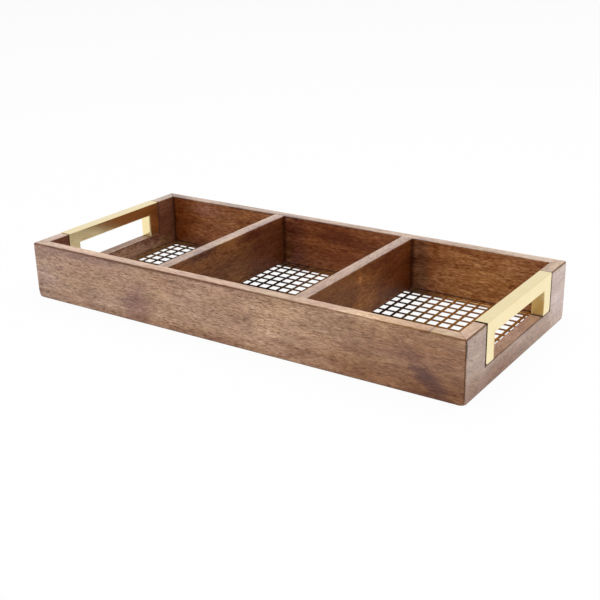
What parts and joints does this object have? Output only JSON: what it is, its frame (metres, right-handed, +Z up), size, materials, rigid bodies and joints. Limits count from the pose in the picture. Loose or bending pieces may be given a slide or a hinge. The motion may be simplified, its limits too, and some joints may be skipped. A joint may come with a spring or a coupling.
{
  "type": "compartment tray",
  "caption": "Low rectangular wooden tray with a pierced metal floor, cross dividers that part it into equal compartments, and flush metal bar handles in its ends.",
  "frame": {"origin": "middle of the tray's length and width, on the surface that it stands on", "axes": "+X along the tray to its right end, +Y from its front board to its back board, +Z up out of the open top"},
  "size_m": [0.4, 0.18, 0.0488],
  "materials": {
    "board_wood": "satin lacquer over open-grained brown hardwood",
    "divider_wood": "satin lacquer over open-grained brown hardwood",
    "spline_wood": "bare",
    "floor_metal": "polished, with dark cut edges",
    "handle_brass": "polished",
    "screw_steel": "satin"
  },
  "bodies": {
    "root": {"front_board": "board_wood", "back_board": "board_wood", "left_end_board": "board_wood", "right_end_board": "board_wood", "left_divider": "divider_wood", "right_divider": "divider_wood", "mesh_floor": "floor_metal", "left_handle": "handle_brass", "right_handle": "handle_brass", "left_handle_screw_front": "screw_steel", "left_handle_screw_back": "screw_steel", "right_handle_screw_front": "screw_steel", "right_handle_screw_back": "screw_steel", "front_left_spline": "spline_wood", "front_right_spline": "spline_wood", "back_left_spline": "spline_wood", "back_right_spline": "spline_wood"}
  },
  "joints": []
}
